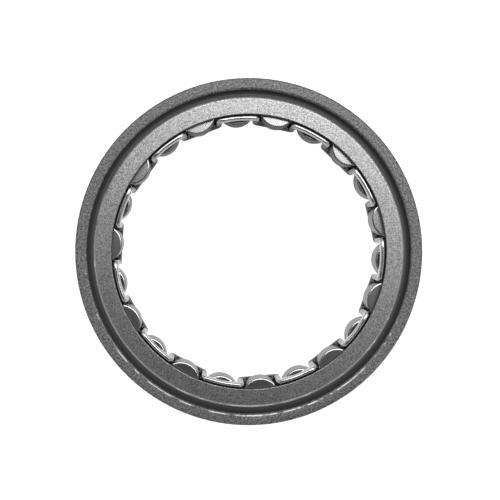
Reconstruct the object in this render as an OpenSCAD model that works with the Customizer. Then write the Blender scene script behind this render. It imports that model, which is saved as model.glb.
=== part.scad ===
// Roller starter clutch without its inner race: a ramped outer race, closed by its rear flange and by a
// cover ring under a rolled lip, with a ring of rollers held by one serpentine spring cage.
// The clutch axis is Z. The rear face lies on Z = 0 and +Z points to the front, the cover's side.
// Sizes are in millimetres. The free direction of the cage is counter-clockwise seen from the front.

/* [Rollers] */
// Number of rollers, an even number so that the cage's loops can alternate
roller_count = 22; // [16:2:22]
// Diameter of a roller
roller_d = 10; // [8:0.1:10.4]
// Length of a roller
roller_len = 11; // [9:0.5:16]
// Width of the chamfer round a roller's ends, seen from the front
chamfer_w = 0.5; // [0.3:0.05:0.7]
// Length of that chamfer along the roller
chamfer_len = 0.18; // [0.1:0.01:0.3]
// Diameter of the inner race that the rollers run on, which is not part of this object
inner_race_d = 67; // [62:0.5:68]
// Room for the rollers at each end
end_play = 0.1; // [0.05:0.05:0.3]
// Angle of the first roller, counter-clockwise from the X axis
first_angle = 13; // [0:1:16]

/* [Ramps] */
// Radius of the hollow ramp that a roller climbs
ramp_r = 12; // [11:0.5:14]
// Lean of the ramp where it meets a roller at rest
ramp_lean = 7; // [5:0.5:9]
// Gap between a roller and its ramp at rest
ramp_gap = 0.06; // [0.05:0.01:0.1]
// Angle that the cage and the rollers can turn to the free end of the ramps
free_travel = 2.5; // [1.5:0.1:2.8]
// Gap around a roller at the free end of its ramp
free_end_gap = 0.15; // [0.1:0.05:0.25]
// Height of the teeth between the ramps
tooth_h = 1.65; // [1.2:0.05:1.8]

/* [Outer race] */
// Metal between the cover's seat and the outside of the race, which is pressed into the rotor
wall_t = 1.7; // [1.5:0.1:8]
// Thickness of the rear flange that closes the race behind the rollers
flange_t = 2.5; // [2.3:0.1:5]
// Radial step from the deepest point of the ramps out to the cover's seat
seat_step = 0.15; // [0.1:0.05:0.3]
// Height of the lip that is rolled over the foot of the cover
lip_t = 2.1; // [1.7:0.1:3.5]
// Overlap of the lip on the foot of the cover
lip_overlap = 1.45; // [0.8:0.05:1.6]
// Rounding of the lip's inner edge
lip_round = 0.65; // [0.3:0.05:0.9]
// Rounding of the outer edges of the race
rim_round = 0.5; // [0.3:0.1:1]
// Rounding of the two edges of the flange's hole
flange_edge = 0.3; // [0.1:0.05:0.6]

/* [Cover ring] */
// Thickness of the foot that the lip holds
foot_t = 1.2; // [1:0.1:1.6]
// Radial gap between the cover's hole and the inner race
bore_gap = 2.5; // [2.3:0.1:3]
// Height of the cover's face above its foot
cover_step = 1.5; // [1.5:0.1:1.8]
// Rounding of the shoulder between the face and the groove
shoulder_round = 1.15; // [0.4:0.05:1.15]
// Hollow rounding between the shoulder and the foot
foot_round = 0.3; // [0.2:0.05:0.3]
// Width of the foot, from the shoulder to its edge
foot_w = 2.65; // [2.2:0.05:2.8]
// Gap between the edge of the foot and its seat
foot_gap = 0.05; // [0.02:0.01:0.1]
// Rounding of the edges of the cover's hole and of its foot
cover_edge = 0.25; // [0.1:0.05:0.4]

/* [Cage] */
// Thickness of the cage from outside to inside
cage_t = 1.4; // [1.4:0.1:1.5]
// Running gap between the cage and the holes of the cover and the flange
cage_gap = 0.15; // [0.1:0.05:0.3]
// Gap between a roller's end and the bar of the cage that crosses it
bar_gap = 0.45; // [0.4:0.05:0.6]
// Gap between a roller's side and the edge of a cage leg
leg_gap = 0.15; // [0.1:0.05:0.25]
// Depth of the cage's front edge behind the face of the cover
front_recess = 0.3; // [0:0.05:0.6]
// Depth of the cage's rear edge in front of the rear face of the race
rear_recess = 0.1; // [0.1:0.05:0.4]
// How far the straight rear bars reach in past the legs
bar_reach = 0.5; // [0.45:0.05:0.5]
// Rounding of the cage's long edges
cage_round = 0.5; // [0.3:0.05:0.55]
// Rounding inside the closed end of each loop
slot_round = 1; // [0.5:0.1:1]
// Rounding outside the closed end of each loop
loop_round = 1.8; // [1:0.1:1.9]

/* [Hidden] */
$fn = 64;
// Overlap that carries a cut past the surface it opens
past = 0.5;
// Angle at which the cage's cut roundings meet the faces beside them
meet_angle = 20;

roller_r = roller_d / 2;
pitch_r = inner_race_d / 2 + roller_r;
cell_angle = 360 / roller_count;

// Places along the axis, from the rear face to the front
roller_z = flange_t + end_play;
roller_top = roller_z + roller_len;
seat_z = roller_top + end_play;
foot_top = seat_z + foot_t;
race_w = foot_top + lip_t;
face_z = foot_top + cover_step;

// The ramp's centre lies inside the pitch circle, on the line through the roller's middle and the
// point where the ramp touches it
ramp_offset = ramp_r - roller_r - ramp_gap;
ramp_x = pitch_r - ramp_offset * cos(ramp_lean);
ramp_y = ramp_offset * sin(ramp_lean);
ramp_reach = norm([ramp_x, ramp_y]) + ramp_r;
free_reach = pitch_r + roller_r + free_end_gap;
pocket_r = max(ramp_reach, free_reach);

hole_r = inner_race_d / 2 + bore_gap;
tooth_r = pocket_r - tooth_h;
seat_r = pocket_r + seat_step;
race_r = seat_r + wall_t;
lip_r = seat_r - lip_overlap;

foot_r = seat_r - foot_gap;
shoulder_r = foot_r - foot_w;

cage_out = hole_r - cage_gap;
cage_in = cage_out - cage_t;
cage_z = rear_recess;
cage_top = face_z - front_recess;
rear_bar_top = roller_z - bar_gap;
front_bar_z = roller_top + bar_gap;
// A leg's edge clears the roller where the roller is widest beside the cage
roller_chord_x = (pitch_r * pitch_r + cage_out * cage_out - roller_r * roller_r) / (2 * pitch_r);
slot_half = sqrt(cage_out * cage_out - roller_chord_x * roller_chord_x) + leg_gap;
flat_r = cage_in - bar_reach;
flat_half = sqrt(cage_in * cage_in - flat_r * flat_r);
flat_back = sqrt(pow(cage_out - cage_round, 2) - flat_half * flat_half);

function two_digits(i) = str(i < 10 ? "0" : "", i);
function roller_name(i) = str("roller_", two_digits(i));
function roller_angle(i) = first_angle + (i - 1) * cell_angle;

// Shape that takes a corner back to a rounding. The metal lies in the quarter turn numbered side:
// 0 is +X +Y, 1 is -X +Y, 2 is -X -Y and 3 is +X -Y.
module corner_cut(x, y, radius, side) {
    translate([x, y])
        rotate(90 * side)
            difference() {
                translate([-past, -past])
                    square(radius + past);
                translate([radius, radius])
                    circle(radius);
            }
}

// The same for a cut through a finished solid, where the rounding meets both faces at a slight angle
module edge_cut(x, y, radius, side) {
    translate([x, y])
        rotate(90 * side)
            difference() {
                translate([-past, -past])
                    square(radius + past);
                translate([radius, radius])
                    circle(radius / cos(meet_angle));
            }
}

// Half section of the race, before the ramps are cut
module race_section() {
    difference() {
        translate([hole_r, 0])
            square([race_r - hole_r, race_w]);
        translate([hole_r - past, flange_t])
            square([tooth_r - hole_r + past, race_w]);
        translate([hole_r - past, seat_z])
            square([seat_r - hole_r + past, foot_t]);
        translate([hole_r - past, foot_top])
            square([lip_r - hole_r + past, lip_t + past]);
        corner_cut(lip_r, race_w, lip_round, 3);
        corner_cut(race_r, race_w, rim_round, 2);
        corner_cut(race_r, 0, rim_round, 1);
        corner_cut(hole_r, 0, flange_edge, 0);
        corner_cut(hole_r, flange_t, flange_edge, 3);
    }
}

// Outline of the pocket for a roller on the X axis: the ramp up to the free end, then a hollow that
// follows the roller
module ramp_pocket() {
    intersection() {
        translate([ramp_x, ramp_y])
            circle(ramp_r);
        rotate(free_travel)
            translate([pitch_r, -ramp_r])
                square([ramp_r, ramp_r]);
    }
    rotate(free_travel)
        translate([pitch_r, 0])
            circle(roller_r + free_end_gap);
}

module outer_race() {
    color("dimgray")
        difference() {
            rotate_extrude()
                race_section();
            translate([0, 0, flange_t])
                linear_extrude(seat_z - flange_t + foot_t / 2)
                    for (i = [1:roller_count])
                        rotate(roller_angle(i))
                            ramp_pocket();
        }
}

// Half section of the cover: a thick ring with a rounded shoulder above a thinner foot
module cover_section() {
    difference() {
        union() {
            translate([hole_r, seat_z])
                square([foot_r - hole_r, foot_t]);
            translate([hole_r, seat_z])
                square([shoulder_r - hole_r, face_z - seat_z]);
            translate([shoulder_r - past, foot_top - past])
                square(foot_round + past);
        }
        translate([shoulder_r + foot_round, foot_top + foot_round])
            circle(foot_round);
        corner_cut(shoulder_r, face_z, shoulder_round, 2);
        corner_cut(hole_r, face_z, cover_edge, 3);
        corner_cut(hole_r, seat_z, cover_edge, 0);
        corner_cut(foot_r, seat_z, cover_edge, 1);
        corner_cut(foot_r, foot_top, cover_edge, 2);
    }
}

module front_cover() {
    color("silver")
        rotate_extrude()
            cover_section();
}

// Half section of the tube that the cage is cut from
module cage_section() {
    difference() {
        translate([cage_in, cage_z])
            square([cage_t, cage_top - cage_z]);
        corner_cut(cage_in, cage_z, cage_round, 0);
        corner_cut(cage_out, cage_z, cage_round, 1);
        corner_cut(cage_out, cage_top, cage_round, 2);
        corner_cut(cage_in, cage_top, cage_round, 3);
    }
}

// Straight bar across the rear of a loop, for a roller on the X axis
module rear_bar() {
    rotate([90, 0, 0])
        linear_extrude(2 * (flat_half + cage_gap), center = true)
            difference() {
                translate([flat_r, cage_z])
                    square([flat_back - flat_r, rear_bar_top - cage_z]);
                corner_cut(flat_r, cage_z, cage_round, 0);
                corner_cut(flat_r, rear_bar_top, cage_round, 3);
            }
}

// Outline of a slot that is closed at height zero and open above, with a flared mouth at its depth
module slot_outline(depth) {
    translate([-slot_half, slot_round])
        square([2 * slot_half, depth - slot_round + past]);
    translate([slot_round - slot_half, 0])
        square([2 * (slot_half - slot_round), slot_round + past]);
    for (side = [-1, 1])
        translate([side * (slot_half - slot_round), slot_round])
            circle(slot_round);
    edge_cut(slot_half, depth, loop_round, 3);
    edge_cut(-slot_half, depth, loop_round, 2);
}

// Slot for a roller on the X axis, with the legs beside it rounded on their inner edges
module cage_slot(depth) {
    leg_x = sqrt(cage_in * cage_in - pow(slot_half + cage_round, 2));
    translate([flat_r - past, 0, 0])
        rotate([90, 0, 90])
            linear_extrude(cage_out - flat_r + 2 * past)
                slot_outline(depth);
    translate([0, 0, slot_round])
        linear_extrude(depth - slot_round + past) {
            edge_cut(leg_x, slot_half, cage_round, 0);
            edge_cut(leg_x, -slot_half, cage_round, 3);
        }
}

// The cage's loops close behind the odd rollers and in front of the even ones
module cage() {
    color("lightsteelblue")
        difference() {
            union() {
                rotate_extrude()
                    cage_section();
                for (i = [1:2:roller_count])
                    rotate(roller_angle(i))
                        rear_bar();
            }
            for (i = [1:2:roller_count])
                rotate(roller_angle(i))
                    translate([0, 0, rear_bar_top])
                        cage_slot(cage_top - rear_bar_top);
            for (i = [2:2:roller_count])
                rotate(roller_angle(i))
                    translate([0, 0, front_bar_z])
                        mirror([0, 0, 1])
                            cage_slot(front_bar_z - cage_z);
        }
}

module roller(i) {
    color("gainsboro")
        rotate(roller_angle(i))
            translate([pitch_r, 0, roller_z])
                rotate_extrude()
                    polygon([
                        [0, 0],
                        [roller_r - chamfer_w, 0],
                        [roller_r, chamfer_len],
                        [roller_r, roller_len - chamfer_len],
                        [roller_r - chamfer_w, roller_len],
                        [0, roller_len]
                    ]);
}

outer_race();
front_cover();
cage();
for (i = [1:roller_count])
    roller(i);
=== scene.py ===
import math

import bmesh
import bpy
from mathutils import Matrix, Vector


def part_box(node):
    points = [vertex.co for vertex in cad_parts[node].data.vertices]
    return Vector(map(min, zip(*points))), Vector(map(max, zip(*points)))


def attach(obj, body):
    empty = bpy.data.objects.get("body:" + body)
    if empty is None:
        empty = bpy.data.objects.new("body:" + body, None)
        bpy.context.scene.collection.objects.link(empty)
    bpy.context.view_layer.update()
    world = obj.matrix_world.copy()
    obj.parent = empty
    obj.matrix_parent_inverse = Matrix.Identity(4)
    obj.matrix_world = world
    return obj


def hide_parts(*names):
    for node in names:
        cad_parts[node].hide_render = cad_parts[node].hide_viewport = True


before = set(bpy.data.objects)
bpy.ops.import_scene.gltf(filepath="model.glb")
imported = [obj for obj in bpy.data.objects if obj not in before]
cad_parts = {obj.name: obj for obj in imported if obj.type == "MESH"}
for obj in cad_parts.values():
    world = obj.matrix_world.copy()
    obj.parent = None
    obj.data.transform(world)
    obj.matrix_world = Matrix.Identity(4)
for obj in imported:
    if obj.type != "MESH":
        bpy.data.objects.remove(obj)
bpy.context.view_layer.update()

bl_info = {
    "name": "Starter clutch dressing",
    "version": (1, 0, 0),
    "blender": (4, 5, 0),
    "location": "View3D > Sidebar > Clutch",
    "description": "Dresses the packed roller clutch with steel finishes and lights it on a pale floor",
    "category": "Object",
}

# The photograph is 500 pixels on a side. These give the ring's centre and outer radius in it.
PHOTO_SIDE = 500
PHOTO_CENTRE_X = 249.27
PHOTO_CENTRE_Y = 251.89
PHOTO_RADIUS = 174.0

MM = 0.001
# Start at which noise never breaks a band
UNBROKEN = -0.4
# Bright bare steel for rubbed lines that carry a painted highlight and for painted sheen, painted glints, a
# painted grey for soft shade, and the painted dark shade of recesses, grooves and the cage's rear
BRIGHT_WEAR_AND_SHEEN = (0.92, 0.92, 0.93)
PAINTED_GLINT = (0.9, 0.9, 0.9)
PAINTED_SOFT_GREY = (0.22, 0.22, 0.22)
PAINTED_SHADE_DARK = (0.075, 0.075, 0.076)
CAGE_PAINTED_SHADE = (0.09, 0.09, 0.09)
# Distance within which the corners of turned pieces are merged
WELD = 0.0002 * MM
ROLLERS = sorted(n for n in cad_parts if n.startswith("roller_"))


def node_radius(node):
    """Outer radius of a node that is centred on the clutch axis."""
    low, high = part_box(node)
    return (high.x - low.x) / 2


RACE_R = node_radius("outer_race")
RACE_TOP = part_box("outer_race")[1].z
COVER_R = node_radius("front_cover")
COVER_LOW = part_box("front_cover")[0].z
COVER_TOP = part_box("front_cover")[1].z
CAGE_R = node_radius("cage")
CAGE_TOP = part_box("cage")[1].z
ROLLER_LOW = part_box("roller_01")[0].z
ROLLER_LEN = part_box("roller_01")[1].z - ROLLER_LOW
ROLLER_R = (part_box("roller_01")[1].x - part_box("roller_01")[0].x) / 2


def roller_centre(node):
    """Centre of a roller's rear face."""
    low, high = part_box(node)
    return Vector(((low.x + high.x) / 2, (low.y + high.y) / 2, low.z))


class RaceFinish(bpy.types.PropertyGroup):
    """Dark grained steel of the outer race."""

    colour: bpy.props.FloatVectorProperty(
        name="Steel colour", description="Colour of the clean race", subtype="COLOR", size=3,
        min=0.0, max=1.0, default=(0.25, 0.25, 0.255))
    grain: bpy.props.FloatProperty(
        name="Grain size", description="Distance between the pits of the surface", unit="LENGTH",
        default=0.5 * MM, min=0.05 * MM, max=3 * MM)
    roughness: bpy.props.FloatProperty(
        name="Roughness", description="Roughness of the race between its pits", subtype="FACTOR",
        default=0.55, min=0.0, max=1.0)
    lip_reach: bpy.props.FloatProperty(
        name="Lip reach", description="How far the lip reaches in over the foot of the cover",
        unit="LENGTH", default=1.4 * MM, min=0.1 * MM, max=3 * MM)
    lip_round: bpy.props.FloatProperty(
        name="Lip rounding", description="Rounding of the inner edge of the lip", unit="LENGTH",
        default=0.6 * MM, min=0.05 * MM, max=1 * MM)
    # The bright line on the lip is rubbed steel with a painted highlight
    lip_width: bpy.props.FloatProperty(
        name="Lip wear", description="Half the width of the bright line on the inner edge of the lip",
        unit="LENGTH", default=0.17 * MM, min=0.02 * MM, max=1 * MM)


class CoverFinish(bpy.types.PropertyGroup):
    """Section and finish of the cover ring."""

    steps: bpy.props.IntProperty(
        name="Steps round", description="Steps round the cover", default=512, min=32, max=2048)
    foot_thickness: bpy.props.FloatProperty(
        name="Foot thickness", description="Thickness of the foot that the lip holds", unit="LENGTH",
        default=1.2 * MM, min=0.2 * MM, max=3 * MM)
    foot: bpy.props.FloatProperty(
        name="Foot width", description="Width of the foot, from the shoulder to its edge",
        unit="LENGTH", default=2.65 * MM, min=0.2 * MM, max=6 * MM)
    shoulder: bpy.props.FloatProperty(
        name="Shoulder rounding", description="Rounding between the face and the groove",
        unit="LENGTH", default=1.15 * MM, min=0.05 * MM, max=2 * MM)
    hollow: bpy.props.FloatProperty(
        name="Hollow rounding", description="Hollow rounding between the shoulder and the foot",
        unit="LENGTH", default=0.3 * MM, min=0.05 * MM, max=1 * MM)
    hole: bpy.props.FloatProperty(
        name="Hole radius", description="Radius of the cover's hole", unit="LENGTH",
        default=CAGE_R + 0.15 * MM, min=10 * MM, max=60 * MM)
    edge: bpy.props.FloatProperty(
        name="Edge rounding", description="Rounding of the edges of the hole", unit="LENGTH",
        default=0.25 * MM, min=0.02 * MM, max=0.5 * MM)
    # The bright line on the shoulder is rubbed steel with a painted highlight
    line_place: bpy.props.FloatProperty(
        name="Shoulder wear place", description="How far the bright line lies inside the shoulder's wall",
        unit="LENGTH", default=0.6 * MM, min=0.0, max=2 * MM)
    line_width: bpy.props.FloatProperty(
        name="Shoulder wear", description="Half the width of the bright line on the shoulder",
        unit="LENGTH", default=0.19 * MM, min=0.02 * MM, max=1 * MM)
    colour: bpy.props.FloatVectorProperty(
        name="Steel colour", description="Colour of the clean cover", subtype="COLOR", size=3,
        min=0.0, max=1.0, default=(0.42, 0.42, 0.425))
    grain: bpy.props.FloatProperty(
        name="Grain size", description="Distance between the pits of the blasted surface",
        unit="LENGTH", default=0.3 * MM, min=0.05 * MM, max=3 * MM)
    roughness: bpy.props.FloatProperty(
        name="Roughness", description="Roughness of the cover between its pits", subtype="FACTOR",
        default=0.33, min=0.0, max=1.0)


class CageFinish(bpy.types.PropertyGroup):
    """Bright spring steel of the cage."""

    thickness: bpy.props.FloatProperty(
        name="Thickness", description="Thickness of the cage, across which its bars are crowned",
        unit="LENGTH", default=1.4 * MM, min=0.2 * MM, max=3 * MM)
    colour: bpy.props.FloatVectorProperty(
        name="Steel colour", description="Colour of the clean cage", subtype="COLOR", size=3,
        min=0.0, max=1.0, default=(0.66, 0.66, 0.67))
    roughness: bpy.props.FloatProperty(
        name="Roughness", description="Roughness of the polished spring steel", subtype="FACTOR",
        default=0.2, min=0.0, max=1.0)


class RollerFinish(bpy.types.PropertyGroup):
    """Shape and finish of the rollers."""

    chamfer: bpy.props.FloatProperty(
        name="Chamfer width", description="Width of the chamfer round a roller's ends", unit="LENGTH",
        default=0.5 * MM, min=0.05 * MM, max=1 * MM)
    chamfer_length: bpy.props.FloatProperty(
        name="Chamfer length", description="Length of the chamfer along the roller", unit="LENGTH",
        default=0.18 * MM, min=0.02 * MM, max=1 * MM)
    steps: bpy.props.IntProperty(
        name="Steps round", description="Steps round a roller", default=128, min=16, max=512)
    colour: bpy.props.FloatVectorProperty(
        name="Steel colour", description="Colour of the clean rollers", subtype="COLOR", size=3,
        min=0.0, max=1.0, default=(0.68, 0.69, 0.70))
    # Side colour: the sides are painted dark for the dim reflections they show
    side_colour: bpy.props.FloatVectorProperty(
        name="Side colour", description="Colour of the oiled sides of the rollers", subtype="COLOR",
        size=3, min=0.0, max=1.0, default=(0.19, 0.19, 0.19))
    roughness: bpy.props.FloatProperty(
        name="Roughness", description="Roughness of the ground rollers", subtype="FACTOR",
        default=0.21, min=0.0, max=1.0)


class StageLook(bpy.types.PropertyGroup):
    """Camera, lamps and floor."""

    distance: bpy.props.FloatProperty(
        name="Camera distance", description="Distance from the front of the race to the camera",
        unit="LENGTH", default=0.4, min=0.1, max=3.0)
    lean_left: bpy.props.FloatProperty(
        name="Lean to the left", description="Angle of the camera left of the clutch axis",
        subtype="ANGLE", default=math.radians(1.5), min=0.0, max=0.5)
    lean_up: bpy.props.FloatProperty(
        name="Lean upwards", description="Angle of the camera above the clutch axis",
        subtype="ANGLE", default=math.radians(0.8), min=0.0, max=0.5)
    key_power: bpy.props.FloatProperty(
        name="Upper lamp", description="Power of the large lamp beyond the upper right side",
        unit="POWER", default=1.15, min=0.0, max=100.0)
    key_place: bpy.props.FloatVectorProperty(
        name="Upper lamp's place", description="Place of the middle of the large lamp", subtype="XYZ",
        unit="LENGTH", size=3, default=(0.05, 0.18, 0.567))
    key_size: bpy.props.FloatVectorProperty(
        name="Upper lamp's size", description="Width and height of the large lamp", unit="LENGTH",
        size=2, min=0.01, max=5.0, default=(0.5, 0.2))
    key_turn: bpy.props.FloatProperty(
        name="Upper lamp's turn", description="Turn of the large lamp about the vertical",
        subtype="ANGLE", default=math.radians(-16))
    low_power: bpy.props.FloatProperty(
        name="Lower lamp", description="Power of the small lamp beyond the lower side", unit="POWER",
        default=0.12, min=0.0, max=100.0)
    low_place: bpy.props.FloatVectorProperty(
        name="Lower lamp's place", description="Place of the middle of the small lamp", subtype="XYZ",
        unit="LENGTH", size=3, default=(0.1, -0.45, 0.36))
    low_size: bpy.props.FloatProperty(
        name="Lower lamp's size", description="Side of the small square lamp", unit="LENGTH",
        default=0.12, min=0.01, max=5.0)
    low_tilt: bpy.props.FloatProperty(
        name="Lower lamp's tilt", description="Tilt of the small lamp towards the clutch",
        subtype="ANGLE", default=math.radians(-52))
    low_turn: bpy.props.FloatProperty(
        name="Lower lamp's turn", description="Turn of the small lamp about the vertical",
        subtype="ANGLE", default=math.radians(12))
    floor_reach: bpy.props.FloatProperty(
        name="Floor reach", description="Distance from the clutch axis to the sides of the floor",
        unit="LENGTH", default=1.5, min=0.2, max=10.0)
    floor_gap: bpy.props.FloatProperty(
        name="Floor gap", description="Gap between the floor and the rear of the race", unit="LENGTH",
        default=0.05 * MM, min=0.0, max=1 * MM)
    sky_top: bpy.props.FloatProperty(
        name="Sky overhead", description="Strength of the sky straight above the clutch",
        default=0.03, min=0.0, max=3.0)
    sky_side: bpy.props.FloatProperty(
        name="Sky at the sides", description="Strength of the sky near the horizon",
        default=0.5, min=0.0, max=3.0)


def socket_by_name(tree, name):
    """Identifier of a tree's named input."""
    for item in tree.interface.items_tree:
        if item.item_type == "SOCKET" and item.in_out == "INPUT" and item.name == name:
            return item.identifier
    raise KeyError(name)


def link_pairs(tree, *pairs):
    """Joins pairs of sockets."""
    for start, end in pairs:
        tree.links.new(start, end)


def feed(tree, sockets, values):
    """Links sockets or writes numbers into a node's inputs, and leaves out what isn't given."""
    for socket, value in zip(sockets, values):
        if isinstance(value, (int, float)):
            socket.default_value = value
        elif value is not None:
            tree.links.new(value, socket)


def math_node(tree, operation, first, second=None, third=None, clamp=False):
    """Result of a math node with sockets or numbers as its inputs."""
    node = tree.nodes.new("ShaderNodeMath")
    node.operation = operation
    node.use_clamp = clamp
    feed(tree, node.inputs, (first, second, third))
    return node.outputs[0]


def point_of(tree, x, y, z=0.0):
    """Vector from sockets or numbers."""
    node = tree.nodes.new("ShaderNodeCombineXYZ")
    feed(tree, node.inputs, (x, y, z))
    return node.outputs["Vector"]


def axis_distance(tree, place):
    """Distance of a place from the Z axis, and the node that holds its coordinates."""
    apart = tree.nodes.new("ShaderNodeSeparateXYZ")
    tree.links.new(place, apart.inputs["Vector"])
    length = tree.nodes.new("ShaderNodeVectorMath")
    length.operation = "LENGTH"
    tree.links.new(point_of(tree, apart.outputs["X"], apart.outputs["Y"]), length.inputs[0])
    return length.outputs["Value"], apart


def new_group(name, inputs, outputs):
    """Empty shader group with named sockets, given as (name, kind, default)."""
    tree = bpy.data.node_groups.new(name, "ShaderNodeTree")
    for label, kind, default in inputs:
        socket = tree.interface.new_socket(label, in_out="INPUT", socket_type="NodeSocket" + kind)
        if default is not None:
            socket.default_value = default
    for label, kind in outputs:
        tree.interface.new_socket(label, in_out="OUTPUT", socket_type="NodeSocket" + kind)
    return tree, tree.nodes.new("NodeGroupInput").outputs, tree.nodes.new("NodeGroupOutput").inputs


def build_grain_group():
    """Pits of a grained or blasted steel surface, and painted glints: random grains painted white for
    sparkles of light.
    """
    finer, wider = 2.3, 0.9
    fine_share, coarse_share = 0.4, 0.7
    pit_low, pit_high = 0.44, 0.68
    glint_reach, glint_rarity, glint_edge = 0.26, 0.84, 6.0
    tree, given, result = new_group(
        "Steel grain",
        [("Place", "Vector", None), ("Grain size", "Float", 0.5 * MM), ("Glints", "Float", 0.5)],
        [("Height", "Float"), ("Tone", "Float"), ("Glint", "Float")])
    scale = math_node(tree, "DIVIDE", 1.0, given["Grain size"])
    coarse = tree.nodes.new("ShaderNodeTexNoise")
    coarse.inputs["Detail"].default_value = 3.0
    coarse.inputs["Roughness"].default_value = 0.62
    fine = tree.nodes.new("ShaderNodeTexNoise")
    fine.inputs["Detail"].default_value = 2.0
    cells = tree.nodes.new("ShaderNodeTexVoronoi")
    for node in (coarse, fine, cells):
        tree.links.new(given["Place"], node.inputs["Vector"])
    link_pairs(tree, (scale, coarse.inputs["Scale"]),
               (math_node(tree, "MULTIPLY", scale, finer), fine.inputs["Scale"]),
               (math_node(tree, "MULTIPLY", scale, wider), cells.inputs["Scale"]))
    pits = math_node(tree, "MULTIPLY_ADD", fine.outputs["Fac"], fine_share,
                     math_node(tree, "MULTIPLY", coarse.outputs["Fac"], coarse_share))
    tone = tree.nodes.new("ShaderNodeMapRange")
    tone.inputs["From Min"].default_value = pit_low
    tone.inputs["From Max"].default_value = pit_high
    # Painted glints: chosen grains are marked to be painted white as sparkles of light
    near = math_node(tree, "SUBTRACT", glint_reach, cells.outputs["Distance"], clamp=True)
    picked = tree.nodes.new("ShaderNodeSeparateColor")
    chosen = math_node(tree, "GREATER_THAN", picked.outputs[0], glint_rarity)
    glint = math_node(tree, "MULTIPLY", math_node(tree, "MULTIPLY", near, glint_edge, clamp=True), chosen)
    link_pairs(tree, (pits, result["Height"]), (pits, tone.inputs["Value"]),
               (tone.outputs["Result"], result["Tone"]), (cells.outputs["Color"], picked.inputs["Color"]),
               (math_node(tree, "MULTIPLY", glint, given["Glints"]), result["Glint"]))
    return tree


def build_band_group():
    """Mask of a band round an axis, broken up by noise."""
    cut_edge = 0.08
    tree, given, result = new_group(
        "Radius band",
        [("Place", "Vector", None), ("Radius", "Float", 40 * MM), ("Half width", "Float", 0.2 * MM),
         ("Softness", "Float", 0.1 * MM), ("Break size", "Float", 1 * MM), ("Break", "Float", 0.5),
         ("Fade upwards", "Float", 0.0)],
        [("Mask", "Float")])
    radius, apart = axis_distance(tree, given["Place"])
    noise = tree.nodes.new("ShaderNodeTexNoise")
    noise.inputs["Detail"].default_value = 3.0
    away = math_node(tree, "ABSOLUTE", math_node(tree, "SUBTRACT", radius, given["Radius"]))
    inside = math_node(tree, "SUBTRACT", given["Half width"], away)
    ring = math_node(tree, "DIVIDE", inside, given["Softness"], clamp=True)
    # Fade upwards breaks a band more towards the top, so that painted highlights and sheen keep to the
    # lower side, where the light falls
    height = math_node(tree, "DIVIDE", apart.outputs["Y"], given["Radius"])
    start = math_node(tree, "MULTIPLY_ADD", height, given["Fade upwards"], given["Break"])
    cut = tree.nodes.new("ShaderNodeMapRange")
    link_pairs(tree, (given["Place"], noise.inputs["Vector"]),
               (math_node(tree, "DIVIDE", 1.0, given["Break size"]), noise.inputs["Scale"]),
               (noise.outputs["Fac"], cut.inputs["Value"]), (start, cut.inputs["From Min"]),
               (math_node(tree, "ADD", start, cut_edge), cut.inputs["From Max"]),
               (math_node(tree, "MULTIPLY", ring, cut.outputs["Result"]), result["Mask"]))
    return tree


def build_recess_group():
    """Mask of what lies between a floor and a height."""
    tree, given, result = new_group(
        "Recess", [("Place", "Vector", None), ("Floor", "Float", -0.01), ("Height", "Float", 0.01),
                   ("Softness", "Float", 0.001)],
        [("Mask", "Float")])
    apart = tree.nodes.new("ShaderNodeSeparateXYZ")
    tree.links.new(given["Place"], apart.inputs["Vector"])
    below = math_node(tree, "SUBTRACT", given["Height"], apart.outputs["Z"])
    above = math_node(tree, "SUBTRACT", apart.outputs["Z"], given["Floor"])
    inside = math_node(tree, "MINIMUM", below, above)
    tree.links.new(math_node(tree, "DIVIDE", inside, given["Softness"], clamp=True), result["Mask"])
    return tree


def build_crown_group():
    """Height of a surface that falls away on both sides of a radius, like a formed strip's crown."""
    tree, given, result = new_group(
        "Crown", [("Place", "Vector", None), ("Radius", "Float", 35 * MM), ("Fall", "Float", 320.0)],
        [("Height", "Float")])
    radius, _ = axis_distance(tree, given["Place"])
    away = math_node(tree, "SUBTRACT", radius, given["Radius"])
    fall = math_node(tree, "MULTIPLY", math_node(tree, "MULTIPLY", away, away), given["Fall"])
    tree.links.new(math_node(tree, "MULTIPLY", fall, -1.0), result["Height"])
    return tree


def build_turned_group():
    """Fine rings left by turning and grinding round a roller's own axis."""
    tree, given, result = new_group(
        "Turned rings", [("Place", "Vector", None), ("Ring pitch", "Float", 0.1 * MM)],
        [("Tone", "Float")])
    radius, apart = axis_distance(tree, given["Place"])
    row = point_of(tree, math_node(tree, "DIVIDE", radius, given["Ring pitch"]), 0.0,
                   math_node(tree, "DIVIDE", apart.outputs["Z"], given["Ring pitch"]))
    rings = tree.nodes.new("ShaderNodeTexNoise")
    rings.inputs["Scale"].default_value = 1.0
    rings.inputs["Detail"].default_value = 2.0
    link_pairs(tree, (row, rings.inputs["Vector"]), (rings.outputs["Fac"], result["Tone"]))
    return tree


def place_group(tree, group, **values):
    """Places a shared group in a material with its own values."""
    node = tree.nodes.new("ShaderNodeGroup")
    node.node_tree = bpy.data.node_groups[group]
    for label, value in values.items():
        node.inputs[label.replace("_", " ")].default_value = value
    return node


def mix_colour(tree, factor, first, second, blend="MIX"):
    """Result of a colour mix with sockets, numbers or colours as its inputs."""
    node = tree.nodes.new("ShaderNodeMix")
    node.data_type = "RGBA"
    node.blend_type = blend
    node.clamp_result = True
    # The inputs that a mix of colours uses, among those for the other kinds of mix
    sockets = (node.inputs[0], node.inputs[6], node.inputs[7])
    for socket, value in zip(sockets, (factor, first, second)):
        if hasattr(value, "links"):
            tree.links.new(value, socket)
        elif isinstance(value, (int, float)):
            socket.default_value = value
        else:
            socket.default_value = (*value[:3], 1.0)
    return node.outputs[2]


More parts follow.
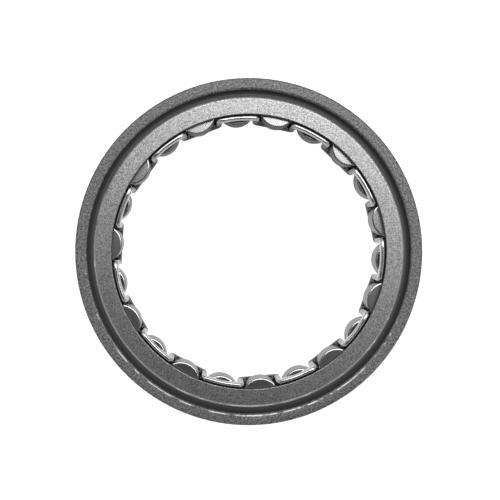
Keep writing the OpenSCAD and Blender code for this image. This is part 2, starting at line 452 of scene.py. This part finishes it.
def new_material(name):
    """New material, its tree, its shader and the place on the object."""
    material = bpy.data.materials.new(name)
    material.use_nodes = True
    tree = material.node_tree
    shader = tree.nodes["Principled BSDF"]
    place = tree.nodes.new("ShaderNodeTexCoord").outputs["Object"]
    return material, tree, shader, place


def steel_bump(tree, shader, height, distance):
    """Bump on a shader from a height."""
    bump = tree.nodes.new("ShaderNodeBump")
    bump.inputs["Distance"].default_value = distance
    tree.links.new(height, bump.inputs["Height"])
    tree.links.new(bump.outputs["Normal"], shader.inputs["Normal"])


def shade(colour, factor):
    """Colour made darker or lighter."""
    return tuple(min(1.0, part * factor) for part in colour)


def band(inner, outer, softness, break_size=6 * MM, start=UNBROKEN, fade=0.0):
    """Inputs of the radius band group for a band between two radii, kept where noise passes the start."""
    return {"Radius": (inner + outer) / 2, "Half_width": (outer - inner) / 2, "Softness": softness,
            "Break_size": break_size, "Break": start, "Fade_upwards": fade}


def bands_mask(tree, place, bands, side):
    """Mask of several bands, kept to the side that another mask gives."""
    total = 0.0
    for values in bands:
        node = place_group(tree, "Radius band", **values)
        tree.links.new(place, node.inputs["Place"])
        total = math_node(tree, "MAXIMUM", node.outputs["Mask"], total)
    return math_node(tree, "MULTIPLY", total, side)


def grained_steel(name, finish, glints, bump, recess, wear_and_highlight_bands=(), polished=(), painted_grey_bands=(), painted_shade_bands=()):
    """Grained steel with rubbed lines that carry a painted highlight, painted sheen, painted grey and
    painted dark shade in bands on its front, and painted dark shade inside.
    """
    rear_edge, outer_edge = 1.2 * MM, 1 * MM
    pit_tone, ridge_tone = 0.4, 1.6
    polish_and_sheen_share, wear_and_highlight_share = 0.4, 0.7
    smoothing, roughening = -0.2, 0.5
    material, tree, shader, place = new_material(name)
    shader.inputs["Specular IOR Level"].default_value = 0.2
    grain = place_group(tree, "Steel grain", Grain_size=finish.grain, Glints=glints)
    front = place_group(tree, "Recess", Floor=RACE_TOP / 2, Height=RACE_TOP * 2, Softness=1 * MM)
    deep = place_group(tree, "Recess", Floor=rear_edge, Height=recess, Softness=0.6 * MM)
    for node in (grain, front, deep):
        tree.links.new(place, node.inputs["Place"])
    wear_and_highlight, polish_and_sheen, painted_grey, painted_shade = (bands_mask(tree, place, bands, front.outputs["Mask"])
                               for bands in (wear_and_highlight_bands, polished, painted_grey_bands, painted_shade_bands))
    # Painted shade: the inside, below the recess height, is painted dark
    core = band(0.0, RACE_R - outer_edge, softness=0.3 * MM)
    inside = bands_mask(tree, place, [core], deep.outputs["Mask"])
    dark = math_node(tree, "MAXIMUM", inside, painted_shade)
    dull = math_node(tree, "MAXIMUM", dark, painted_grey)
    colour = mix_colour(tree, grain.outputs["Tone"], shade(finish.colour, pit_tone),
                        shade(finish.colour, ridge_tone))
    # Painted glints
    colour = mix_colour(tree, grain.outputs["Glint"], colour, PAINTED_GLINT)
    # Painted sheen: the polished bands are lightened towards bright bare steel
    colour = mix_colour(tree, math_node(tree, "MULTIPLY", polish_and_sheen, polish_and_sheen_share), colour, BRIGHT_WEAR_AND_SHEEN)
    # Painted grey for soft shade where the steel would mirror dark
    colour = mix_colour(tree, painted_grey, colour, PAINTED_SOFT_GREY)
    # Painted dark shade in grooves, on recessed faces and inside
    colour = mix_colour(tree, dark, colour, PAINTED_SHADE_DARK)
    # Rubbed lines: bright bare steel, with a painted highlight that keeps to the lower side
    colour = mix_colour(tree, wear_and_highlight, colour, BRIGHT_WEAR_AND_SHEEN)
    smoothed = math_node(tree, "MULTIPLY_ADD", wear_and_highlight, smoothing, finish.roughness)
    rough = math_node(tree, "MULTIPLY_ADD", dull, roughening, smoothed, clamp=True)
    pale = math_node(tree, "MULTIPLY", wear_and_highlight, wear_and_highlight_share)
    clean = math_node(tree, "SUBTRACT", 1.0, math_node(tree, "MAXIMUM", dull, pale), clamp=True)
    link_pairs(tree, (colour, shader.inputs["Base Color"]), (rough, shader.inputs["Roughness"]),
               (clean, shader.inputs["Metallic"]))
    steel_bump(tree, shader, grain.outputs["Height"], bump)
    return material


def race_steel(finish):
    """Dark grained steel with a rubbed line on the lip that carries a painted highlight, and painted dark
    shade inside it.
    """
    lip = COVER_R - finish.lip_reach
    line = lip + finish.lip_round
    painted_shade_depth, painted_shade_climb = 1.4 * MM, 0.25 * MM
    return grained_steel(
        "race_steel", finish, glints=0.8, bump=0.035 * MM, recess=RACE_TOP - painted_shade_depth,
        wear_and_highlight_bands=[band(line - finish.lip_width, line + finish.lip_width, softness=0.06 * MM,
                   break_size=3.5 * MM, start=0.66, fade=0.24)],
        painted_shade_bands=[band(CAGE_R, lip + painted_shade_climb, softness=0.3 * MM)])


def cover_steel(finish):
    """Blasted steel: a rubbed line with a painted highlight and a polished band with painted sheen on the
    shoulder, painted grey on the hollow, and painted dark shade on the foot and at the edge of the hole.
    """
    wall = COVER_R - finish.foot
    foot_top = COVER_LOW + finish.foot_thickness
    line = wall - finish.line_place
    painted_grey_start, painted_grey_end = wall - 0.45 * MM, wall + 0.8 * MM
    painted_shade_start, painted_shade_end = wall + 0.15 * MM, COVER_R + 0.4 * MM
    polish_and_sheen_reach, painted_shade_rise, hole_reach, soft = 0.1 * MM, 0.1 * MM, 0.16 * MM, 0.35 * MM
    return grained_steel(
        "cover_steel", finish, glints=0.4, bump=0.02 * MM, recess=foot_top + painted_shade_rise,
        wear_and_highlight_bands=[band(line - finish.line_width, line + finish.line_width, softness=0.06 * MM,
                   break_size=4.5 * MM, start=0.66, fade=0.18)],
        polished=[band(wall - finish.shoulder, wall + polish_and_sheen_reach, soft, start=0.3, fade=0.5)],
        painted_grey_bands=[band(painted_grey_start, painted_grey_end, soft)],
        painted_shade_bands=[band(painted_shade_start, painted_shade_end, soft),
              band(finish.hole - hole_reach, finish.hole + hole_reach, hole_reach / 2)])


def roller_steel(finish):
    """Ground bearing steel: bright ends with fine rings, a painted bar shadow on every second end, a
    painted dark reflection round the edge of each end, and sides painted dark for dim reflections.
    """
    corner_width, edge, soft = 0.2 * MM, 0.02 * MM, 0.05 * MM
    ring_low, ring_high, shadow_tone, corner_tone = 0.85, 1.1, 0.3, 0.12
    roughening = 0.1
    material, tree, shader, _ = new_material("roller_steel")
    shader.inputs["Metallic"].default_value = 1.0
    shader.inputs["Specular Tint"].default_value = (0.75, 0.75, 0.75, 1.0)
    own = tree.nodes.new("ShaderNodeAttribute")
    own.attribute_name = "roller_place"
    rings = place_group(tree, "Turned rings", Ring_pitch=0.12 * MM)
    chamfer = place_group(tree, "Radius band", **band(ROLLER_R - finish.chamfer, ROLLER_R, soft))
    corner = place_group(tree, "Radius band", **band(ROLLER_R - corner_width, ROLLER_R - edge, soft))
    side = place_group(tree, "Radius band", **band(ROLLER_R - edge, ROLLER_R + edge, edge / 2))
    for node in (rings, chamfer, corner, side):
        tree.links.new(own.outputs["Vector"], node.inputs["Place"])
    ends = mix_colour(tree, rings.outputs["Tone"], shade(finish.colour, ring_low),
                      shade(finish.colour, ring_high))
    # Painted shadow: the bars cross every second roller, and its flat end is painted dark where they would
    # keep the light off
    shadow = tree.nodes.new("ShaderNodeAttribute")
    shadow.attribute_name = "painted_bar_shadow"
    flat = math_node(tree, "SUBTRACT", 1.0, chamfer.outputs["Mask"], clamp=True)
    shaded = math_node(tree, "MULTIPLY", shadow.outputs["Fac"], flat)
    ends = mix_colour(tree, shaded, ends, shade(finish.colour, shadow_tone))
    # Painted reflection: a dark ring on the outer part of each chamfer
    ends = mix_colour(tree, corner.outputs["Mask"], ends, shade(finish.colour, corner_tone))
    # The sides are painted dark for the dim reflections they show
    colour = mix_colour(tree, side.outputs["Mask"], ends, finish.side_colour)
    rough = math_node(tree, "MULTIPLY_ADD", side.outputs["Mask"], roughening, finish.roughness)
    link_pairs(tree, (colour, shader.inputs["Base Color"]), (rough, shader.inputs["Roughness"]))
    return material


def cage_steel(finish):
    """Bright spring steel on the front, painted darker towards the rear as shade."""
    painted_shade_depth, painted_shade_share = 0.9 * MM, 0.8
    pit_tone, ridge_tone, grain_height = 0.8, 1.12, 0.004 * MM
    smoothest, roughening = finish.roughness - 0.04, 0.1
    material, tree, shader, place = new_material("cage_steel")
    shader.inputs["Metallic"].default_value = 1.0
    shader.inputs["Specular Tint"].default_value = (0.8, 0.8, 0.8, 1.0)
    grain = place_group(tree, "Steel grain", Grain_size=0.35 * MM, Glints=0.0)
    deep = place_group(tree, "Recess", Height=CAGE_TOP - painted_shade_depth, Softness=2.2 * MM)
    crown = place_group(tree, "Crown", Radius=CAGE_R - finish.thickness / 2)
    for node in (grain, deep, crown):
        tree.links.new(place, node.inputs["Place"])
    colour = mix_colour(tree, grain.outputs["Tone"], shade(finish.colour, pit_tone),
                        shade(finish.colour, ridge_tone))
    # Painted shade: the cage is painted darker towards the rear
    painted_shade = math_node(tree, "MULTIPLY", deep.outputs["Mask"], painted_shade_share)
    colour = mix_colour(tree, painted_shade, colour, CAGE_PAINTED_SHADE)
    rough = math_node(tree, "MULTIPLY_ADD", grain.outputs["Tone"], roughening, smoothest)
    link_pairs(tree, (colour, shader.inputs["Base Color"]), (rough, shader.inputs["Roughness"]))
    height = math_node(tree, "MULTIPLY_ADD", grain.outputs["Height"], grain_height,
                       crown.outputs["Height"])
    steel_bump(tree, shader, height, 1.0)
    return material


def even_shading(piece):
    """Makes a piece's large faces set the normals at their edges."""
    piece.modifiers.new("Even shading", "WEIGHTED_NORMAL").keep_sharp = True
    return piece


def smooth_copy(node, name, angle):
    """Copy of a CAD node's mesh, merged and shaded smooth up to an angle."""
    shell = bmesh.new()
    shell.from_mesh(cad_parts[node].data)
    bmesh.ops.remove_doubles(shell, verts=shell.verts, dist=0.0005 * MM)
    mesh = bpy.data.meshes.new(name)
    shell.to_mesh(mesh)
    shell.free()
    mesh.materials.clear()
    mesh.shade_smooth()
    mesh.set_sharp_from_angle(angle=angle)
    piece = bpy.data.objects.new(name, mesh)
    bpy.context.scene.collection.objects.link(piece)
    return even_shading(piece)


def take_mesh(piece):
    """Turns what a piece's modifiers make into its plain mesh."""
    result = bpy.data.meshes.new_from_object(
        piece.evaluated_get(bpy.context.evaluated_depsgraph_get()))
    if not result.polygons:
        raise RuntimeError(f"{piece.name} came out empty")
    piece.modifiers.clear()
    piece.data = result
    result.name = piece.name
    return piece


def nodes_piece(name, tree, values):
    """Object whose mesh is made by a Geometry Nodes tree with the given inputs."""
    piece = bpy.data.objects.new(name, bpy.data.meshes.new(name))
    modifier = piece.modifiers.new("Shape", "NODES")
    modifier.node_group = tree
    for label, value in values.items():
        modifier[socket_by_name(tree, label)] = value
    bpy.context.scene.collection.objects.link(piece)
    return take_mesh(piece)


def new_shape_tree(name, inputs):
    """Empty Geometry Nodes tree with named inputs, given as (name, kind)."""
    tree = bpy.data.node_groups.new(name, "GeometryNodeTree")
    tree.interface.new_socket("Shape", in_out="OUTPUT", socket_type="NodeSocketGeometry")
    for label, kind in inputs:
        tree.interface.new_socket(label, in_out="INPUT", socket_type="NodeSocket" + kind)
    return tree, tree.nodes.new("NodeGroupInput").outputs, tree.nodes.new("NodeGroupOutput").inputs


def roller_corners(tree, given, steps=6):
    """Corners of a roller's half section, with X measured from its outer edge."""
    axis = math_node(tree, "MULTIPLY", given["Radius"], -1.0)
    top = math_node(tree, "MULTIPLY", given["Length"], -1.0)
    rear, front = [(axis, 0.0)], [(axis, top)]
    for k in range(steps + 1):
        turn = math.radians(90) * k / steps
        inset = math_node(tree, "MULTIPLY", given["Chamfer width"], math.sin(turn) - 1)
        depth = math_node(tree, "MULTIPLY", given["Chamfer length"], 1 - math.cos(turn))
        rear.append((inset, math_node(tree, "MULTIPLY", depth, -1.0)))
        front.append((inset, math_node(tree, "ADD", top, depth)))
    return rear + front[::-1]


def section_curve(tree, corners):
    """Curve through the corners of a section."""
    line = tree.nodes.new("GeometryNodeMeshLine")
    line.inputs["Count"].default_value = len(corners)
    index = tree.nodes.new("GeometryNodeInputIndex").outputs[0]
    pick = tree.nodes.new("GeometryNodeIndexSwitch")
    pick.data_type = "VECTOR"
    while len(pick.index_switch_items) < len(corners):
        pick.index_switch_items.new()
    for slot, (x, y) in enumerate(corners):
        tree.links.new(point_of(tree, x, y), pick.inputs[1 + slot])
    place = tree.nodes.new("GeometryNodeSetPosition")
    section = tree.nodes.new("GeometryNodeMeshToCurve")
    link_pairs(tree, (index, pick.inputs["Index"]), (line.outputs["Mesh"], place.inputs["Geometry"]),
               (pick.outputs[0], place.inputs["Position"]),
               (place.outputs["Geometry"], section.inputs["Mesh"]))
    return section.outputs["Curve"]


def store_attribute(tree, name, kind, value):
    """Node that keeps a value at the points of a shape, under a name that a material reads."""
    node = tree.nodes.new("GeometryNodeStoreNamedAttribute")
    node.data_type = kind
    node.domain = "POINT"
    node.inputs["Name"].default_value = name
    tree.links.new(value, node.inputs["Value"])
    return node


def build_roller_tree():
    """Roller turned from its half section, with a crowned chamfer round each end."""
    tree, given, result = new_shape_tree("Roller shape", [
        ("Radius", "Float"), ("Length", "Float"), ("Chamfer width", "Float"), ("Chamfer length", "Float"),
        ("Steps round", "Int"), ("Centre", "Vector"), ("Under a bar", "Float"), ("Steel", "Material")])
    section = section_curve(tree, roller_corners(tree, given))
    circle = tree.nodes.new("GeometryNodeCurvePrimitiveCircle")
    sweep = tree.nodes.new("GeometryNodeCurveToMesh")
    merge = tree.nodes.new("GeometryNodeMergeByDistance")
    merge.inputs["Distance"].default_value = WELD
    position = tree.nodes.new("GeometryNodeInputPosition").outputs[0]
    own_place = store_attribute(tree, "roller_place", "FLOAT_VECTOR", position)
    # Painted bar shadow: every second roller is marked for it, and its material reads the mark
    painted_bar_shadow = store_attribute(tree, "painted_bar_shadow", "FLOAT", given["Under a bar"])
    move = tree.nodes.new("GeometryNodeTransform")
    plain = tree.nodes.new("GeometryNodeRealizeInstances")
    paint = tree.nodes.new("GeometryNodeSetMaterial")
    link_pairs(
        tree, (given["Radius"], circle.inputs["Radius"]),
        (given["Steps round"], circle.inputs["Resolution"]),
        (circle.outputs["Curve"], sweep.inputs["Curve"]), (section, sweep.inputs["Profile Curve"]),
        (sweep.outputs["Mesh"], merge.inputs["Geometry"]),
        (merge.outputs["Geometry"], own_place.inputs["Geometry"]),
        (own_place.outputs["Geometry"], painted_bar_shadow.inputs["Geometry"]),
        (painted_bar_shadow.outputs["Geometry"], move.inputs["Geometry"]),
        (given["Centre"], move.inputs["Translation"]), (move.outputs["Geometry"], plain.inputs["Geometry"]),
        (plain.outputs["Geometry"], paint.inputs["Geometry"]), (given["Steel"], paint.inputs["Material"]),
        (paint.outputs["Geometry"], result["Shape"]))
    return tree


def finish_turned(piece, angle):
    """Faces outwards and smooth shading up to an angle."""
    shell = bmesh.new()
    shell.from_mesh(piece.data)
    bmesh.ops.remove_doubles(shell, verts=shell.verts, dist=WELD)
    bmesh.ops.recalc_face_normals(shell, faces=shell.faces)
    shell.to_mesh(piece.data)
    shell.free()
    piece.data.shade_smooth()
    piece.data.set_sharp_from_angle(angle=angle)
    return even_shading(piece)


def arc_points(centre, radius, start, end, steps=12):
    """Points along an arc, from one angle to another, in degrees."""
    angles = [math.radians(start + (end - start) * k / steps) for k in range(steps + 1)]
    return [(centre[0] + radius * math.cos(a), centre[1] + radius * math.sin(a)) for a in angles]


def cover_outline(finish):
    """Half section of the cover: a thick ring with a rounded shoulder above a thinner foot."""
    inner, edge = finish.hole, finish.edge
    wall = COVER_R - finish.foot
    foot_top = COVER_LOW + finish.foot_thickness
    return (
        arc_points((inner + edge, COVER_TOP - edge), edge, 180, 90, steps=6)
        + arc_points((wall - finish.shoulder, COVER_TOP - finish.shoulder), finish.shoulder, 90, 0)
        + arc_points((wall + finish.hollow, foot_top + finish.hollow), finish.hollow, 180, 270, steps=6)
        + arc_points((COVER_R - edge, foot_top - edge), edge, 90, 0, steps=6)
        + arc_points((COVER_R - edge, COVER_LOW + edge), edge, 0, -90, steps=6)
        + arc_points((inner + edge, COVER_LOW + edge), edge, 270, 180, steps=6))


def turn_outline(name, outline, steps):
    """Solid turned about the clutch axis from a closed half section."""
    shell = bmesh.new()
    rings = []
    for k in range(steps):
        angle = 2 * math.pi * k / steps
        rings.append([shell.verts.new((r * math.cos(angle), r * math.sin(angle), z)) for r, z in outline])
    for k in range(steps):
        here, there = rings[k], rings[(k + 1) % steps]
        for j in range(len(outline)):
            after = (j + 1) % len(outline)
            shell.faces.new((here[j], there[j], there[after], here[after]))
    mesh = bpy.data.meshes.new(name)
    shell.to_mesh(mesh)
    shell.free()
    piece = bpy.data.objects.new(name, mesh)
    bpy.context.scene.collection.objects.link(piece)
    return finish_turned(piece, angle=math.radians(35))


class CLUTCH_OT_shared_groups(bpy.types.Operator):
    """Makes the shader groups that the steels share"""

    bl_idname = "clutch.shared_groups"
    bl_label = "Shared finishes"

    def execute(self, context):
        build_grain_group()
        build_band_group()
        build_recess_group()
        build_crown_group()
        build_turned_group()
        return {"FINISHED"}


class CLUTCH_OT_outer_race(bpy.types.Operator):
    """Dresses the outer race in dark grained steel, with a rubbed line and a painted highlight on its lip
    """

    bl_idname = "clutch.outer_race"
    bl_label = "Outer race"

    def execute(self, context):
        piece = smooth_copy("outer_race", "race_body", angle=math.radians(28))
        piece.data.materials.append(race_steel(context.scene.race_finish))
        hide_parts("outer_race")
        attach(piece, "housing")
        return {"FINISHED"}


class CLUTCH_OT_front_cover(bpy.types.Operator):
    """Turns the cover ring from its half section and dresses it in blasted steel"""

    bl_idname = "clutch.front_cover"
    bl_label = "Cover ring"

    def execute(self, context):
        finish = context.scene.cover_finish
        piece = turn_outline("cover_ring", cover_outline(finish), finish.steps)
        piece.data.materials.append(cover_steel(finish))
        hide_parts("front_cover")
        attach(piece, "housing")
        return {"FINISHED"}


class CLUTCH_OT_cage(bpy.types.Operator):
    """Dresses the serpentine cage in bright spring steel"""

    bl_idname = "clutch.cage"
    bl_label = "Cage"

    def execute(self, context):
        piece = smooth_copy("cage", "cage_band", angle=math.radians(40))
        piece.data.materials.append(cage_steel(context.scene.cage_finish))
        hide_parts("cage")
        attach(piece, "cage")
        return {"FINISHED"}


class CLUTCH_OT_rollers(bpy.types.Operator):
    """Turns each roller in its place and dresses it in ground steel"""

    bl_idname = "clutch.rollers"
    bl_label = "Rollers"

    def execute(self, context):
        finish = context.scene.roller_finish
        tree = build_roller_tree()
        steel = roller_steel(finish)
        for index, node in enumerate(ROLLERS):
            piece = nodes_piece(node + "_ground", tree, {
                "Radius": ROLLER_R, "Length": ROLLER_LEN,
                "Chamfer width": finish.chamfer, "Chamfer length": finish.chamfer_length,
                "Steps round": finish.steps,
                "Centre": roller_centre(node), "Under a bar": float(index % 2), "Steel": steel})
            finish_turned(piece, angle=math.radians(30))
            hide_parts(node)
            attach(piece, node)
        return {"FINISHED"}


def add_lamp(name, place, width, height, turn, power):
    """Rectangular lamp, which faces straight down before it is turned."""
    data = bpy.data.lights.new(name, "AREA")
    data.shape = "RECTANGLE"
    data.size = width
    data.size_y = height
    data.energy = power
    lamp = bpy.data.objects.new(name, data)
    lamp.location = place
    lamp.rotation_euler = turn
    bpy.context.scene.collection.objects.link(lamp)


def floor_material():
    """Plain white floor that shows as white and keeps a soft shadow, with a painted shadow that only
    mirrors show.
    """
    material = bpy.data.materials.new("floor_white")
    material.use_nodes = True
    tree = material.node_tree
    shader = tree.nodes["Principled BSDF"]
    shader.inputs["Base Color"].default_value = (0.9, 0.9, 0.9, 1.0)
    shader.inputs["Roughness"].default_value = 0.9
    shader.inputs["Specular IOR Level"].default_value = 0.0
    shader.inputs["Emission Color"].default_value = (1.0, 1.0, 1.0, 1.0)
    path = tree.nodes.new("ShaderNodeLightPath")
    seen = math_node(tree, "MAXIMUM", path.outputs["Is Camera Ray"], path.outputs["Is Transmission Ray"])
    place = tree.nodes.new("ShaderNodeTexCoord").outputs["Object"]
    apart = tree.nodes.new("ShaderNodeSeparateXYZ")
    shown = 0.9
    # Painted shadow: steel mirrors the floor, which is painted darker in mirrors under the upper side of
    # the clutch
    near, far, bright, dark = 5 * MM, 32 * MM, 0.75, 0.1
    shadow = tree.nodes.new("ShaderNodeMapRange")
    for label, value in (("From Min", near), ("From Max", far), ("To Min", bright), ("To Max", dark)):
        shadow.inputs[label].default_value = value
    mirrored = math_node(tree, "MULTIPLY", path.outputs["Is Glossy Ray"], shadow.outputs["Result"])
    level = math_node(tree, "MULTIPLY_ADD", seen, shown, mirrored)
    link_pairs(tree, (place, apart.inputs["Vector"]), (apart.outputs["Y"], shadow.inputs["Value"]),
               (level, shader.inputs["Emission Strength"]))
    return material


def link_sky(tree, strength, look):
    """Makes the sky dark overhead, where the camera hangs, and paler towards the horizon."""
    overhead, aside = 0.96, 0.75
    apart = tree.nodes.new("ShaderNodeSeparateXYZ")
    tree.links.new(tree.nodes.new("ShaderNodeTexCoord").outputs["Generated"], apart.inputs["Vector"])
    level = tree.nodes.new("ShaderNodeMapRange")
    for label, value in (("From Min", overhead), ("From Max", aside), ("To Min", look.sky_top),
                         ("To Max", look.sky_side)):
        level.inputs[label].default_value = value
    link_pairs(tree, (apart.outputs["Z"], level.inputs["Value"]), (level.outputs["Result"], strength))


def add_floor(look):
    """Square white floor just below the rear of the race."""
    reach = look.floor_reach
    mesh = bpy.data.meshes.new("floor")
    mesh.from_pydata([(-reach, -reach, 0), (reach, -reach, 0), (reach, reach, 0), (-reach, reach, 0)],
                     [], [(0, 1, 2, 3)])
    mesh.materials.append(floor_material())
    floor = bpy.data.objects.new("floor", mesh)
    floor.location.z = -look.floor_gap
    bpy.context.scene.collection.objects.link(floor)


def add_sky(look):
    """White sky whose strength changes with the height."""
    world = bpy.data.worlds.new("soft_sky")
    world.use_nodes = True
    sky = world.node_tree.nodes["Background"]
    sky.inputs["Color"].default_value = (1.0, 1.0, 1.0, 1.0)
    link_sky(world.node_tree, sky.inputs["Strength"], look)
    bpy.context.scene.world = world


def add_camera(look):
    """Camera in front of the clutch that frames it as the photograph does."""
    data = bpy.data.cameras.new("photo_camera")
    frame_width = PHOTO_SIDE * RACE_R / PHOTO_RADIUS
    data.lens = data.sensor_width * look.distance / frame_width
    data.shift_x = (PHOTO_SIDE / 2 - PHOTO_CENTRE_X) / PHOTO_SIDE
    data.shift_y = (PHOTO_CENTRE_Y - PHOTO_SIDE / 2) / PHOTO_SIDE
    data.clip_start = 0.01
    data.clip_end = 10.0
    back = Vector((-math.tan(look.lean_left), math.tan(look.lean_up), 1.0)).normalized()
    right = Vector((0.0, 1.0, 0.0)).cross(back).normalized()
    up = back.cross(right)
    place = Vector((0.0, 0.0, RACE_TOP)) + back * look.distance
    camera = bpy.data.objects.new("photo_camera", data)
    camera.matrix_world = Matrix((
        (right.x, up.x, back.x, place.x),
        (right.y, up.y, back.y, place.y),
        (right.z, up.z, back.z, place.z),
        (0.0, 0.0, 0.0, 1.0)))
    bpy.context.scene.collection.objects.link(camera)
    bpy.context.scene.camera = camera


class CLUTCH_OT_stage(bpy.types.Operator):
    """Sets the floor, the lamps, the sky and the camera"""

    bl_idname = "clutch.stage"
    bl_label = "Stage"

    def execute(self, context):
        look = context.scene.stage_look
        add_floor(look)
        add_lamp("upper_lamp", look.key_place, *look.key_size, (0.0, 0.0, look.key_turn), look.key_power)
        add_lamp("lower_lamp", look.low_place, look.low_size, look.low_size,
                 (look.low_tilt, 0.0, look.low_turn), look.low_power)
        add_sky(look)
        add_camera(look)
        context.scene.view_settings.view_transform = "Standard"
        return {"FINISHED"}


class CLUTCH_PT_panel(bpy.types.Panel):
    """Lists the steps that dress the clutch"""

    bl_idname = "CLUTCH_PT_panel"
    bl_label = "Starter clutch"
    bl_space_type = "VIEW_3D"
    bl_region_type = "UI"
    bl_category = "Clutch"

    def draw(self, context):
        for operator in OPERATORS:
            self.layout.operator(operator.bl_idname)
        for group in SETTINGS:
            column = self.layout.column(align=True)
            settings = getattr(context.scene, group)
            for name in settings.__annotations__:
                column.prop(settings, name)


SETTINGS = {
    "race_finish": RaceFinish, "cover_finish": CoverFinish, "cage_finish": CageFinish,
    "roller_finish": RollerFinish, "stage_look": StageLook,
}
OPERATORS = (
    CLUTCH_OT_shared_groups, CLUTCH_OT_outer_race, CLUTCH_OT_front_cover, CLUTCH_OT_cage,
    CLUTCH_OT_rollers, CLUTCH_OT_stage,
)


def register():
    for name, settings in SETTINGS.items():
        bpy.utils.register_class(settings)
        setattr(bpy.types.Scene, name, bpy.props.PointerProperty(type=settings))
    for cls in (*OPERATORS, CLUTCH_PT_panel):
        bpy.utils.register_class(cls)


def unregister():
    for cls in (CLUTCH_PT_panel, *reversed(OPERATORS)):
        bpy.utils.unregister_class(cls)
    for name, settings in reversed(list(SETTINGS.items())):
        delattr(bpy.types.Scene, name)
        bpy.utils.unregister_class(settings)


def main():
    register()
    bpy.ops.clutch.shared_groups()
    bpy.ops.clutch.outer_race()
    bpy.ops.clutch.front_cover()
    bpy.ops.clutch.cage()
    bpy.ops.clutch.rollers()
    bpy.ops.clutch.stage()


if __name__ == "__main__":
    main()
